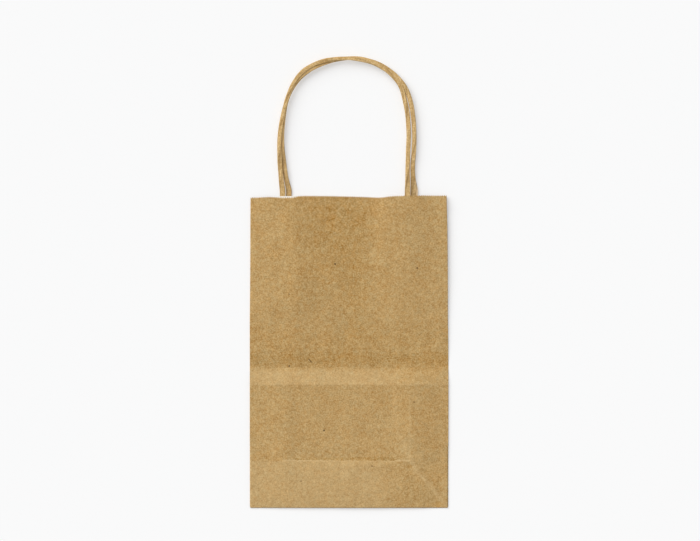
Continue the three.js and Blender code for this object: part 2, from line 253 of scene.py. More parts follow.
def noise(tree, place, size, detail=2.0, roughness=0.5, distortion=0.0):
    """Cloudy noise from 0 to 1 with features of about this size, in metres."""
    values = {
        "Vector": place,
        "Scale": 1 / size,
        "Detail": detail,
        "Roughness": roughness,
        "Distortion": distortion,
    }
    return add(tree, "TexNoise", values, noise_dimensions="3D").outputs[0]


def weighted(tree, parts):
    """The sum of several noises about a middle of 0.5, each with its own weight."""
    total = 0.5
    for part, weight in parts:
        centred = sum_up(tree, "SUBTRACT", part, 0.5)
        total = sum_up(tree, "ADD", sum_up(tree, "MULTIPLY", centred, weight), total)
    return total


def new_group(name, inputs, outputs):
    group = bpy.data.node_groups.new(name, "ShaderNodeTree")
    for label, kind in inputs:
        group.interface.new_socket(name=label, in_out="INPUT", socket_type=kind)
    for label, kind in outputs:
        group.interface.new_socket(name=label, in_out="OUTPUT", socket_type=kind)
    return group, group.nodes.new("NodeGroupInput"), group.nodes.new("NodeGroupOutput")


def fibre_hairs(tree, place):
    """Thin, curved fibre lines in three directions."""
    hairs = None
    for angle, seed in ((0.5, 3.0), (-0.7, 11.0), (1.5, 23.0)):
        turned = add(
            tree,
            "Mapping",
            {"Vector": place, "Location": (seed, 0, 0), "Rotation": (0, 0, angle),
             "Scale": (1.0, 0.25, 1.0)},
        ).outputs[0]
        field = noise(tree, turned, HAIR, 2.0, 0.5, 1.2)
        away = sum_up(tree, "ABSOLUTE", sum_up(tree, "SUBTRACT", field, 0.5))
        line = fade(tree, away, 0.0, 0.04, 1.0, 0.0)
        hairs = line if hairs is None else sum_up(tree, "MAXIMUM", hairs, line)
    gate = fade(tree, noise(tree, place, HAIR_PATCH, 1.0), 0.48, 0.62)
    return sum_up(tree, "MULTIPLY", hairs, gate)


def paper_fibre_group():
    """The mottle, the fine fibres and the flecks of kraft paper, from a place in metres."""
    group, given, result = new_group(
        "paper_fibres",
        [("Place", "NodeSocketVector")],
        [("Tone", "NodeSocketFloat"), ("Hue", "NodeSocketFloat"),
         ("Pale Fleck", "NodeSocketFloat"), ("Dark Fleck", "NodeSocketFloat"),
         ("Height", "NodeSocketFloat")],
    )
    place = given.outputs["Place"]
    cloud = noise(group, place, CLOUD, 2.0, 0.5, 0.4)
    mottle = noise(group, place, MOTTLE, 2.0, 0.5, 0.8)
    grain = noise(group, place, GRAIN, 1.5, 0.5, 0.9)
    fine = noise(group, place, FINE_GRAIN, 1.5, 0.55, 0.3)
    hairs = fibre_hairs(group, place)
    tone = weighted(group, ((cloud, 0.2), (mottle, 0.4), (grain, 0.9), (fine, 1.6)))
    tone = sum_up(group, "ADD", tone, sum_up(group, "MULTIPLY", hairs, -0.14), clamp=True)
    spots = noise(group, place, SPOT, 2.0, 0.6, 0.6)
    stains = noise(group, place, STAIN, 2.0, 0.5, 0.6)
    hue = weighted(group, ((spots, 1.9), (stains, 0.9)))
    pale = fade(group, noise(group, place, PALE_FLECK_SIZE, 1.0, 0.5, 1.5), 0.66, 0.74)
    dark = fade(group, noise(group, place, DARK_FLECK_SIZE, 1.0, 0.5, 2.0), 0.69, 0.75)
    height = sum_up(group, "ADD", grain, sum_up(group, "MULTIPLY", fine, 0.5))
    height = sum_up(group, "ADD", height, sum_up(group, "MULTIPLY", hairs, 0.3))
    for label, value in (
        ("Tone", tone), ("Hue", hue), ("Pale Fleck", pale), ("Dark Fleck", dark), ("Height", height),
    ):
        group.links.new(value, result.inputs[label])
    return group


def new_material(name):
    material = bpy.data.materials.new(name)
    material.use_nodes = True
    tree = material.node_tree
    shader = tree.nodes["Principled BSDF"]
    shader.inputs["Roughness"].default_value = 0.9
    shader.inputs["Specular IOR Level"].default_value = 0.2
    return material, tree, shader


def fibres_at(tree, group, place):
    """The fibre group's outputs, at this place."""
    node = tree.nodes.new("ShaderNodeGroup")
    node.node_tree = group
    tree.links.new(place, node.inputs["Place"])
    return node.outputs


def raise_bump(tree, shader, height, distance, strength):
    values = {"Height": height, "Distance": distance, "Strength": strength}
    bumped = add(tree, "Bump", values).outputs[0]
    tree.links.new(bumped, shader.inputs["Normal"])


def toned(tree, tone, hue, dark, light, warm_shift):
    """A colour between dark and light by its tone, turned a little warmer or greener by its hue."""
    def shifted(shade, amount):
        # a warmer shade is redder and has less blue
        return colour(shade[0] + 0.5 * amount, shade[1] - 0.5 * amount, shade[2] - 1.4 * amount)
    warm = blend(tree, tone, shifted(dark, warm_shift), shifted(light, warm_shift))
    green = blend(tree, tone, shifted(dark, -warm_shift), shifted(light, -warm_shift))
    return blend(tree, sum_up(tree, "MULTIPLY", hue, 1.0, clamp=True), green, warm)


# Bark specks in the front panel: across, up from the bottom fold and radius, in millimetres
SPECKS = [
    (-9.4, 163.8, 0.80), (45.6, 161.1, 0.70), (-40.2, 143.6, 0.52), (-40.2, 95.3, 0.70),
    (-16.8, 52.2, 0.82), (15.4, 28.3, 0.56), (-32.2, 18.2, 0.50), (43.6, 71.3, 0.50),
]
STRAY_FIBRE = ((-27.0, 99.9), (-25.2, 97.9), 0.38)  # its two ends and its radius, the same way
STRAY_STEPS = 6


def speck_mask(tree, place):
    """Where the bark specks and the stray dark fibre lie on the front panel."""
    parts = add(tree, "SeparateXYZ", {0: place}).outputs
    flat = add(tree, "CombineXYZ", {0: parts[0], 1: parts[1], 2: 0.0}).outputs[0]
    (ax, ay), (bx, by), thickness = STRAY_FIBRE
    spots = list(SPECKS)
    for i in range(STRAY_STEPS + 1):
        share = i / STRAY_STEPS
        spots.append((ax + (bx - ax) * share, ay + (by - ay) * share, thickness))
    mask = None
    for across, up, radius in spots:
        centre = (across * MM, BOTTOM + up * MM, 0.0)
        distance = add(tree, "VectorMath", {0: flat, 1: centre}, operation="DISTANCE").outputs[1]
        spot = fade(tree, distance, radius * MM, 0.5 * radius * MM)
        mask = spot if mask is None else sum_up(tree, "MAXIMUM", mask, spot)
    return sum_up(tree, "MULTIPLY", mask, attribute(tree, "front"))


def kraft_material(group):
    material, tree, shader = new_material("kraft_sheet")
    place = add(tree, "TexCoord").outputs["Object"]
    fibres = fibres_at(tree, group, place)
    shade = toned(tree, fibres["Tone"], fibres["Hue"], KRAFT_DARK, KRAFT_LIGHT, 6)
    shade = tinted(tree, shade, fibres["Pale Fleck"], 0.5, PALE_FLECK)
    shade = tinted(tree, shade, fibres["Dark Fleck"], 0.4, DARK_FLECK)
    # rubbed wear with painted highlights, and painted shade where the pale is left out
    shade = tinted(tree, shade, attribute(tree, "pale_wear_and_painted_light"), 1.0, KRAFT_PALE_WEAR_AND_LIGHT)
    shade = tinted(tree, shade, speck_mask(tree, place), 0.9, BARK)
    tree.links.new(shade, shader.inputs["Base Color"])
    raise_bump(tree, shader, fibres["Height"], 0.04 * MM, 0.6)
    return material


def patch_material(group):
    material, tree, shader = new_material("patch_paper")
    place = add(tree, "TexCoord").outputs["Object"]
    fibres = fibres_at(tree, group, place)
    shade = blend(tree, fibres["Tone"], colour(*PATCH_DARK), colour(*PATCH_LIGHT))
    shade = tinted(tree, shade, fibres["Dark Fleck"], 0.2, PATCH_FLECK)
    tree.links.new(shade, shader.inputs["Base Color"])
    raise_bump(tree, shader, fibres["Height"], 0.04 * MM, 0.5)
    return material


def cord_material(group):
    """Twisted paper: streaks, and seams darkened with painted shade, that run along the twist, read
    from the cord's UV map.
    """
    material, tree, shader = new_material("twisted_cord")
    laid = add(tree, "SeparateXYZ", {0: add(tree, "UVMap", uv_map="UVMap").outputs[0]}).outputs
    angle = sum_up(tree, "MULTIPLY", laid[1], 2 * math.pi)
    ring = add(
        tree,
        "CombineXYZ",
        {0: sum_up(tree, "COSINE", angle), 1: sum_up(tree, "SINE", angle),
         2: sum_up(tree, "MULTIPLY", laid[0], 0.8)},
    ).outputs[0]
    streak = noise(tree, ring, 0.42, 3.0, 0.6, 0.3)
    fine = noise(tree, ring, 0.14, 3.0, 0.65, 0.4)
    place = add(tree, "TexCoord").outputs["Object"]
    fibres = fibres_at(tree, group, place)
    tone = weighted(tree, ((streak, 1.2), (fine, 1.3), (fibres["Tone"], 1.0)))
    shade = toned(tree, tone, fibres["Hue"], CORD_DARK, CORD_LIGHT, 4)
    shade = tinted(tree, shade, fibres["Dark Fleck"], 0.3, DARK_FLECK)
    # the loose paper's pale colour, partly a painted highlight
    shade = tinted(tree, shade, attribute(tree, "pale"), 1.0, LOOSE_PAPER_HIGHLIGHT)
    # painted shade in the cord's seams, darker where a groove is deeper
    shade = tinted(tree, shade, attribute(tree, "seam_shade"), 0.72, CORD_SEAM_SHADE)
    tree.links.new(shade, shader.inputs["Base Color"])
    raise_bump(tree, shader, sum_up(tree, "ADD", fine, fibres["Height"]), 0.05 * MM, 0.6)
    return material


# Cord handles
# The cord's width and height along its length, in millimetres, as shares of its diameter: where it
# is turned on edge it looks thinner from above
CORD_WIDTHS = [
    (0, 1.0), (75, 1.0), (90, 0.95), (98, 0.88), (108, 0.95), (122, 1.0), (138, 0.98), (148, 0.88),
    (155, 0.74), (163, 0.9), (175, 0.93), (186, 1.0), (320, 1.0),
]
CORD_HEIGHTS = [(0, 0.52), (120, 0.52), (155, 0.62), (186, 0.52), (320, 0.52)]
BOXINESS = 0.5
CORD_STEP = 0.55 * MM
CORD_SIDES = 40

# The back cord is wider by a share of its width about one place, in millimetres along it
BACK_WIDER_AT = 122
BACK_WIDER_REACH = 16
BACK_WIDER_SHARE = 0.16

# How much of the CAD route's rise each real cord keeps
FRONT_RISE = 0.0
BACK_RISE = 0.85

# The twist: the paper's outer lap thins over each turn, and grooves run along it
TWIST_PITCH = 78 * MM
TWIST_RADIUS = 0.965
LAP_THINNING = 0.07
GROOVES = [
    # place and width as shares of a turn, depth as a share of the radius, and the length in
    # millimetres and the start of its wandering
    (0.02, 0.050, 0.17, 61.0, 0.0), (0.33, 0.036, 0.09, 43.0, 1.7), (0.61, 0.044, 0.14, 52.0, 3.9),
    (0.82, 0.030, 0.07, 33.0, 5.1),
]
GROOVE_WANDER = 0.03
# painted shade in the grooves grows with their depth up to this
FULL_SHADE_DEPTH = 0.13  # a groove this deep is fully dark

# The loose paper beside the back cord's right leg, coloured pale with a painted highlight
LOOSE_WIDTH = 1.9 * MM
LOOSE_LIFT = 0.3 * MM
LOOSE_FADE = (2, 15)  # millimetres above the mouth


def smooth_line(points, steps=12):
    """A smooth line through given points, with knots spaced by the root of their distance."""
    first = points[0] * 2 - points[1]
    last = points[-1] * 2 - points[-2]
    held = [first, *points, last]
    line = []
    for a, b, c, d in zip(held, held[1:], held[2:], held[3:]):
        at_b = (b - a).length ** 0.5
        at_c = at_b + (c - b).length ** 0.5
        at_d = at_c + (d - c).length ** 0.5
        for i in range(steps):
            at = at_b + (at_c - at_b) * i / steps
            ab = a.lerp(b, at / at_b)
            bc = b.lerp(c, (at - at_b) / (at_c - at_b))
            cd = c.lerp(d, (at - at_c) / (at_d - at_c))
            abc = ab.lerp(bc, at / at_c)
            bcd = bc.lerp(cd, (at - at_b) / (at_d - at_b))
            line.append(abc.lerp(bcd, (at - at_b) / (at_c - at_b)))
    line.append(points[-1].copy())
    return line


def even_line(line, spacing):
    """The same line with its points evenly spaced, and its length."""
    points = np.array([list(p) for p in line])
    reach = np.concatenate([[0], np.cumsum(np.linalg.norm(np.diff(points, axis=0), axis=1))])
    places = np.linspace(0, reach[-1], round(reach[-1] / spacing) + 1)
    even = np.column_stack([np.interp(places, reach, points[:, i]) for i in range(3)])
    return even, float(reach[-1])


def cord_route(route, height, rise):
    """The cord's centreline, from the end of one leg inside the mouth to the end of the other, with
    this share of the route's rise above its height in the patches."""
    left, right = route[0][0] * MM, route[-1][0] * MM
    inside = [-CORD_TUCK, -CORD_TUCK / 2, -PATCH_DROP]
    points = [Vector((left, MOUTH + y, height)) for y in inside]
    points += [Vector((x * MM, MOUTH + y * MM, height + z * rise * MM)) for x, y, z in route]
    points += [Vector((right, MOUTH + y, height)) for y in reversed(inside)]
    return points


def twist_section(turn, along, seed):
    """The radius of the twisted cord, as a share of the round one, and how much painted shade it gets
    in a seam.
    """
    lap = np.mod(turn / (2 * math.pi), 1.0)
    radius = TWIST_RADIUS - LAP_THINNING * lap
    seam_shade = np.zeros_like(turn)
    for place, width, depth, run, start in GROOVES:
        wander = np.sin(along / (run * MM) * 2 * math.pi + start + seed)
        centre = place + GROOVE_WANDER * wander
        apart = np.abs(np.mod(lap - centre + 0.5, 1.0) - 0.5)
        share = bump(apart, 0, width)
        strength = 0.72 + 0.28 * np.sin(along / (run * MM) * 2.3 + start * 2 + seed)
        radius = radius - depth * share * strength
        seam_shade = np.maximum(seam_shade, share * strength * min(1.0, depth / FULL_SHADE_DEPTH))
    wrinkle = 0.014 * np.sin(turn * 3 + along / (6.3 * MM) + seed)
    wrinkle = wrinkle + 0.010 * np.sin(turn * 5 - along / (3.7 * MM) + seed * 2)
    swell = 0.018 * np.sin(along / (9 * MM) + seed * 3)
    return radius + wrinkle + swell, seam_shade


def press_in_mouth(points, route, height):
    """Between its patches the cord is pressed flat and wide, and above them it grows round again."""
    start = MOUTH + PRESSED_END
    above = np.clip((points[:, 1] - start) / PRESSED_RUN, 0, 1)
    middle = height + PRESSED_RISE * above
    squeeze = PRESSED_CORD / CORD + (1 - PRESSED_CORD / CORD) * above
    spread = PRESSED_WIDTH / CORD + (1 - PRESSED_WIDTH / CORD) * above
    leg = np.where(points[:, 0] < 0, route[0][0], route[-1][0]) * MM
    points[:, 2] = np.where(above < 1, middle + (points[:, 2] - middle) * squeeze, points[:, 2])
    points[:, 0] = np.where(above < 1, leg + (points[:, 0] - leg) * spread, points[:, 0])
    return points


def loose_edge(points, leg, height):
    """The cord's paper comes loose along the outer side of this leg, just above the mouth, with a
    painted highlight.
    """
    above = (points[:, 1] - MOUTH) / MM
    outwards = (points[:, 0] - leg) / (PRESSED_WIDTH / 2)
    share = np.clip(outwards, 0, 1) ** 4 * (1 - smooth(*LOOSE_FADE, above)) * (points[:, 0] > 0)
    points[:, 0] += LOOSE_WIDTH * share
    points[:, 2] += (height + LOOSE_LIFT - points[:, 2]) * share * 0.8
    return points, share


def boxy(value):
    """Turns a cosine or sine of a round section into one with a flatter top and sides."""
    return np.sign(value) * np.abs(value) ** BOXINESS


def line_sides(line):
    """At each point of a line, the way to its side and the way above it."""
    ahead = np.gradient(line, axis=0)
    ahead /= np.linalg.norm(ahead, axis=1)[:, None]
    aside = np.cross(ahead, (0, 0, 1))
    aside /= np.linalg.norm(aside, axis=1)[:, None]
    return aside, np.cross(aside, ahead)


def lay_twisted_uv(bm, uv, length):
    """Turns a plain grid's UV map along the twist, so that what it lays runs with the paper."""
    turns = length / TWIST_PITCH
    for face in bm.faces:
        for loop in face.loops:
            u, v = loop[uv].uv
            loop[uv].uv = (u * length / (10 * MM), v + u * turns)


def wind_round(line, length, share, route, height, seed):
    """The places of a grid's points wound round the line, and the painted shade of the seams at each
    one.
    """
    aside, above = line_sides(line)
    row = np.clip(np.rint(share[:, 0] * (len(line) - 1)).astype(int), 0, len(line) - 1)
    angle = share[:, 1] * 2 * math.pi
    along = share[:, 0] * length
    turn = angle + along / TWIST_PITCH * 2 * math.pi
    radius, seam_shade = twist_section(turn, along, seed)
    wide = radius * CORD / 2 * along_line(along / MM, CORD_WIDTHS)
    if route is BACK_ROUTE:
        wide *= 1 + BACK_WIDER_SHARE * bump(along / MM, BACK_WIDER_AT, BACK_WIDER_REACH)
    high = radius * CORD / 2 * along_line(along / MM, CORD_HEIGHTS)
    points = line[row] + (boxy(np.cos(angle)) * wide)[:, None] * aside[row]
    points = points + (boxy(np.sin(angle)) * high)[:, None] * above[row]
    return press_in_mouth(points, route, height), seam_shade


def make_cord(name, node, route, height, rise, seed, stack, material):
    """A twisted paper cord along its route, pressed flat between its patches."""
    line, length = even_line(smooth_line(cord_route(route, height, rise)), CORD_STEP)
    bm = bmesh.new()
    uv = bm.loops.layers.uv.new("UVMap")
    bmesh.ops.create_grid(
        bm, x_segments=len(line) - 1, y_segments=CORD_SIDES, size=0.5, calc_uvs=True
    )
    share = vertex_points(bm) + 0.5
    points, seam_shade = wind_round(line, length, share, route, height, seed)
    pale = np.zeros(len(points))
    if route is BACK_ROUTE:
        # the loose edge gives where the pale colour with its painted highlight goes
        points, pale = loose_edge(points, route[-1][0] * MM, height)
    move_vertices(bm, stack.follow(points))
    mark_vertices(bm, "seam_shade", seam_shade)
    mark_vertices(bm, "pale", pale)
    lay_twisted_uv(bm, uv, length)
    bmesh.ops.remove_doubles(bm, verts=bm.verts[:], dist=0.002 * MM)
    bmesh.ops.holes_fill(bm, edges=[e for e in bm.edges if e.is_boundary], sides=CORD_SIDES + 2)
    bmesh.ops.recalc_face_normals(bm, faces=bm.faces[:])
    cord = finished(bm, name, material, sharp=70)
    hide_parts(node)
    return cord


# How the paper really lies: heights in millimetres, at places in millimetres from the middle of the
# bag and above its bottom fold
FOLDED_RISE = [(0, 0.9), (4, 1.45), (12, 1.95), (32, 2.3), (60, 2.7), (83, 3.0)]
VALLEY = [(94, 0.62), (96.5, 0.62), (107, 1.25), (120, 1.35)]
MOUTH_CROSS = [
    (-66.5, 1.7), (-61, 2.4), (-54, 2.8), (-46, 3.2), (-42, 3.9), (-37, 4.7), (-32, 4.5), (-26, 3.9),
    (-9, 2.9), (4, 2.6), (14, 2.9), (19, 3.3), (23, 4.3), (33, 4.8), (42, 4.5), (52, 3.7), (62, 3.0),
    (66.5, 2.9),
]
STEP = (83.4, 94.0)  # where the panel comes down past the folded bottom

# The edges that show through the panel, as lines of (above the bottom fold, across)
DIAGONAL = [(1.0, 66.2), (13.5, 55.8), (18.8, 51.1), (24.9, 45.1), (32.3, 41.7), (36.3, 39.7)]
SIDE_EDGE = [(36.3, 39.7), (49.8, 33.0), (59.2, 30.4), (82.0, 31.0)]
EDGE_WIDTH = 1.6
DIAGONAL_RISE = 0.2
SIDE_EDGE_RISE = 0.07
DROOP = 0.016  # the corner outside the diagonal falls this much for each millimetre
FLAP_RISE = 0.13  # the panel lies this much higher over the front bottom flap
STEP_EDGE_RISE = 0.08

# How pale each crease or part of the panel is made, from 0 to 1: partly rubbed wear, partly painted
# highlight, with painted shade where the pale wash is left out
FLAP_LINE_WEAR_AND_HIGHLIGHT = 0.32
RIGHT_EDGE_WEAR_AND_HIGHLIGHT = 0.13
STEP_EDGE_WEAR_AND_HIGHLIGHT = 0.10
FLAP_WEAR_AND_HIGHLIGHT = 0.12
# painted highlight on the slope where the panel comes down past the folded bottom
STEP_PAINTED_HIGHLIGHT = 0.13
# a pale wash over the panel, left out as painted shade in the valley above the step and darker
# towards the middle of the mouth
PANEL_WEAR_AND_SHADE = 0.11
RIGHT_EDGE = 40.7

COCKLES = [
    # height, length of the wave, its direction from across in degrees, and its start
    (0.09, 41.0, 4, 0.4), (0.055, 23.0, -7, 2.1), (0.03, 14.5, 9, 4.4), (0.07, 67.0, 38, 1.2),
    (0.04, 31.0, -52, 5.0), (0.018, 9.5, 3, 0.9),
]


def cockle(x, y):
    """The faint waves of paper that isn't quite flat."""
    height = np.zeros_like(x)
    for tall, length, degrees, start in COCKLES:
        way = math.radians(degrees)
        travel = x * math.cos(way) + y * math.sin(way)
        height = height + tall * np.sin(2 * math.pi * travel / length + start)
    return height


def folded_height(x, y):
    """The front panel over the folded bottom: thick in the middle and thin at its edges."""
    across = 1 - 0.35 * (1 - ramp(-66, -42, x, 3)) - 0.58 * ramp(41, 66, x, 3)
    return along_line(y, FOLDED_RISE) * across


def upper_height(x, y):
    """The front panel above the folded bottom, which rises towards the cords inside the mouth."""
    low = along_line(y, VALLEY)
    height = low + (along_line(x, MOUTH_CROSS) - low) * smooth(100, 170, y)
    corner = smooth(192, 209, y)
    height = height - 0.6 * corner * (1 - smooth(-64, -54, x))
    return height + 0.8 * corner * smooth(60, 67, x) - 0.3 * corner * bump(x, 57, 5)


def folded_details(x, y):
    """What the layers of the folded bottom press into the panel over them."""
    window = smooth(28, 34, y)
    height = 0.4 * ramp(-62, -42, x, 2) - 0.6 * ramp(-41.5, -35.3, x, 0.8)
    height = height + 0.95 * ramp(28.5, 40.6, x, 0.6) - 0.75 * ramp(41.1, 63, x, 0.6)
    return height * window + 0.45 * bump(x, 6, 34) * (1 - window)


def diagonal_ridge(x, y):
    """The edge of the side flap's folded corner, which shows through the front panel, and how far
    the panel falls outside it."""
    height = np.zeros_like(x)
    for line, rise in ((DIAGONAL, DIAGONAL_RISE), (SIDE_EDGE, SIDE_EDGE_RISE)):
        first, last = line[0][0], line[-1][0]
        inside = smooth(first - 2, first + 2, y) * (1 - smooth(last - 2, last + 2, y))
        height = np.maximum(height, rise * inside * bump(x, along_line(y, line), EDGE_WIDTH))
    beyond = np.maximum(0, x - along_line(y, DIAGONAL) - 1)
    droop = DROOP * beyond * (1 - smooth(26, 42, y))
    return height, droop


def fine_relief(x, y):
    """What stands out of the panel's broad shape: pressed edges, the diagonal and the cockles."""
    over_bottom = 1 - ramp(*STEP, y, 0.5)
    height = folded_details(x, y) * over_bottom
    centre = smooth(-60, -46, x) * (1 - smooth(42, 60, x))
    height = height + FLAP_RISE * (1 - ramp(FLAP_LINE - 0.4, FLAP_LINE + 0.5, y, 0.15)) * centre
    height = height + STEP_EDGE_RISE * bump(y, STEP[0] - 0.5, 0.9)
    ridge, droop = diagonal_ridge(x, y)
    height = height + ridge - droop
    return height + cockle(x, y) * (0.6 + 0.4 * smooth(84, 110, y))


def wear_and_painted_light(x, y):
    """How pale the paper is made, from 0 to 1: wear and painted highlights at its creases and step,
    less painted shade.
    """
    centre = smooth(-45, -43, x) * (1 - smooth(40, 42, x))
    # rubbed wear and painted highlights along the crease lines and the diagonal
    pale = FLAP_LINE_WEAR_AND_HIGHLIGHT * bump(y, FLAP_LINE, 0.6) * centre
    side = smooth(31, 33, y) * (1 - smooth(70, 80, y))
    pale = np.maximum(pale, RIGHT_EDGE_WEAR_AND_HIGHLIGHT * bump(x, RIGHT_EDGE, 0.5) * side)
    pale = np.maximum(pale, diagonal_ridge(x, y)[0])
    pale = np.maximum(pale, STEP_EDGE_WEAR_AND_HIGHLIGHT * bump(y, STEP[0] - 0.2, 0.6))
    over_flap = (1 - smooth(FLAP_LINE - 1, FLAP_LINE + 0.5, y)) * (1 - smooth(10, 40, x))
    pale = np.maximum(pale, FLAP_WEAR_AND_HIGHLIGHT * over_flap)
    # painted highlight on the slope down past the folded bottom
    slope = ramp(82.8, 84.2, y, 0.2) * (1 - ramp(91.5, 95, y, 0.5))
    pale = pale + STEP_PAINTED_HIGHLIGHT * slope * (1 - 0.9 * smooth(15, 45, x))
    # painted shade in the valley above the step, and darker towards the middle of the mouth
    dark = bump(x, -13, 25) * smooth(110, 190, y) + 0.6 * bump(x, 5, 9) * smooth(95, 130, y)
    dark = dark + bump(y, 99.5, 5.5) + 0.4 * bump(y, 112, 10)
    return pale + PANEL_WEAR_AND_SHADE * (1 - np.clip(dark, 0, 1))


# The settled stack of layers, which every piece inside the bag follows too, in millimetres
GRID = 1.0
SOFTENING = 2.2  # how far the broad shape is blurred, in grid steps
SIDE_LIMIT = 66.2  # the panel is level inside these limits, and turns into its folds outside them
LOW_LIMIT = 1.6
HIGH_LIMIT = 209.2
FOLLOW_FADE = 12  # above the mouth, where the cords stop following the stack


def blurred(field, reach):
    """The field smoothed both ways over a reach given in grid steps."""
    side = int(3 * reach) + 1
    offsets = np.arange(-side, side + 1)
    weights = np.exp(-0.5 * (offsets / reach) ** 2)
    weights /= weights.sum()
    for axis in (0, 1):
        width = [(side, side) if i == axis else (0, 0) for i in (0, 1)]
        padded = np.pad(field, width, mode="reflect", reflect_type="odd")
        field = np.apply_along_axis(lambda row: np.convolve(row, weights, "valid"), axis, padded)
    return field


def within_limits(points):
    """The places of points in millimetres, moved in to where the panel is level."""
    x = np.clip(points[:, 0] / MM, -SIDE_LIMIT, SIDE_LIMIT)
    return x, np.clip(above_fold(points), LOW_LIMIT, HIGH_LIMIT)


class Stack:
    """The height of the front panel over the surface, as its CAD has it and as it has settled."""

    def __init__(self, tree):
        self.tree = tree
        side = math.ceil(HALF / MM)
        self.xs = np.arange(-side, side + GRID, GRID)
        self.ys = np.arange(0, math.ceil(BAG_HEIGHT / MM) + GRID, GRID)
        x, y = np.meshgrid(self.xs, self.ys)
        self.folded = blurred(folded_height(x, y), SOFTENING)
        self.upper = blurred(upper_height(x, y), SOFTENING)

    def top(self, x, y):
        """The CAD's height of the front panel, at arrays of places."""
        down = Vector((0, 0, -1))
        starts = [Vector((a * MM, BOTTOM + b * MM, 1.0)) for a, b in zip(x, y)]
        return np.array([self.tree.ray_cast(start, down)[0].z / MM for start in starts])

    def read(self, field, x, y):
        """A field's value between its grid points, at arrays of places."""
        across = np.clip((x - self.xs[0]) / GRID, 0, len(self.xs) - 1.001)
        up = np.clip((y - self.ys[0]) / GRID, 0, len(self.ys) - 1.001)
        i, j = across.astype(int), up.astype(int)
        fx, fy = across - i, up - j
        low = field[j, i] * (1 - fx) + field[j, i + 1] * fx
        high = field[j + 1, i] * (1 - fx) + field[j + 1, i + 1] * fx
        return low * (1 - fy) + high * fy

    def settled(self, x, y):
        """The front panel's settled height, at arrays of places."""
        folded = self.read(self.folded, x, y)
        upper = self.read(self.upper, x, y)
        return folded + (upper - folded) * ramp(*STEP, y, 0.6) + fine_relief(x, y)

    def follow(self, points, outer=None):
        """Moves points of any layer up or down with the settled stack. outer marks those that lie on
        the front panel's outer face itself."""
        x, y = within_limits(points)
        now = self.settled(x, y)
        share = now / self.top(x, y)
        fading = 1 - smooth(0, FOLLOW_FADE, (points[:, 1] - MOUTH) / MM)
        height = points[:, 2] * (1 + (share - 1) * fading)
        if outer is not None:
            level = np.abs(points[:, 0]) <= SIDE_LIMIT * MM
            level &= above_fold(points) >= LOW_LIMIT
            height = np.where(outer & level, now * MM, height)
        points[:, 2] = height
        return points


# The outline: how far each side fold lies inside the nominal width, by the place above the bottom
RIGHT_INSET = [(0, 0.15), (30, 0.1), (60, 0), (95, 0), (110, 0.1), (127, 0.35), (147, 0.4),
               (167, 0.5), (187, 0.7), (204, 1.15), (210, 1.3)]
LEFT_INSET = [(0, 0.05), (127, 0), (147, 0.2), (167, 0.35), (187, 0.4), (210, 0.5)]

# The mouth's cut edge: how far it runs above the nominal line, by the place across
LIP = [
    (-66.7, -0.9), (-62, -0.9), (-53, -0.45), (-46, -1.05), (-37.5, -1.05), (-34, 0.0), (-30, 0.2),
    (-13, 0.1), (7, -0.35), (19, -0.9), (22, -0.9), (25, -0.45), (30, 0.1), (50, 0.5),
    (61, 0.35), (66.7, 0.45),
]
PATCH_LIP = [
    (-50, -0.9), (-47.5, -0.3), (-46, 0.05), (-37, 0.05), (-33.5, -0.2), (-15, -0.3), (0, -0.6),
    (12, -1.0), (22, -1.3), (32, -0.5), (45, -0.3),
]
LIP_REACH = 14.0  # how far below the mouth its uneven edge bends the paper
BACK_LIP_DROP = 0.9  # the back panel's edge lies this much lower than the front panel's

# The bottom fold, in millimetres above the bottom
FOLD_START = 0.04
FOLD_SIZE = 1.44  # how far the rounded fold reaches in the CAD
TIGHT_FOLD = 0.15  # and how far it really reaches
TIGHT_REACH = 10.0  # the paper above this place stays where it is
ABOVE_ALL = 400  # a place above every piece


def inset_sides(points):
    """Moves the side folds inwards, where the real bag is narrower than its nominal width."""
    y = above_fold(points)
    x = points[:, 0] / MM
    near = smooth(38, HALF / MM, np.abs(x))
    inset = np.where(x > 0, -along_line(y, RIGHT_INSET), along_line(y, LEFT_INSET))
    points[:, 0] += inset * near * MM
    return points


def tighten_bottom(points):
    """The bottom fold is creased sharply, so its round end takes up less of the panel's length."""
    line = [
        (FOLD_START, FOLD_START), (FOLD_SIZE, TIGHT_FOLD), (TIGHT_REACH, TIGHT_REACH),
        (ABOVE_ALL, ABOVE_ALL),
    ]
    points[:, 1] = BOTTOM + along_line(above_fold(points), line) * MM
    return points


def bend_lip(points, line, lower=0.0):
    """Bends the paper near the mouth to its uneven cut edge, or to this much below it."""
    high = BAG_HEIGHT / MM
    near = smooth(high - LIP_REACH, high, above_fold(points))
    points[:, 1] += (along_line(points[:, 0] / MM, line) - lower) * near * MM
    return points


# The paper sheet
SEEN_STEP = 1.0 * MM  # between the cuts across the front panel's outer face
HIDDEN_STEP = 5 * MM  # between the cuts across the other faces
# more cuts at the creases: above the bottom fold and across, in millimetres
CREASES_Y = (31.2, 31.6, 32.4, 82.5, 82.9, 83.3, 83.6, 93.6, 94.4)
CREASES_X = (40.3, 40.7, 41.1)
TOOTH = 1.5 * MM
TOOTH_DEPTH = 0.95 * MM
TOOTH_LIFT = 0.13  # the share of a tooth that stands above the cut edge's line
TOOTH_BAND = 0.9 * MM  # the teeth's own row of faces below the mouth
AT_EDGE = 0.01 * MM  # vertices this close to the mouth lie on its cut edge
FRONT_SHARE = 0.75  # layers above this share of the stack's height are the front panel's


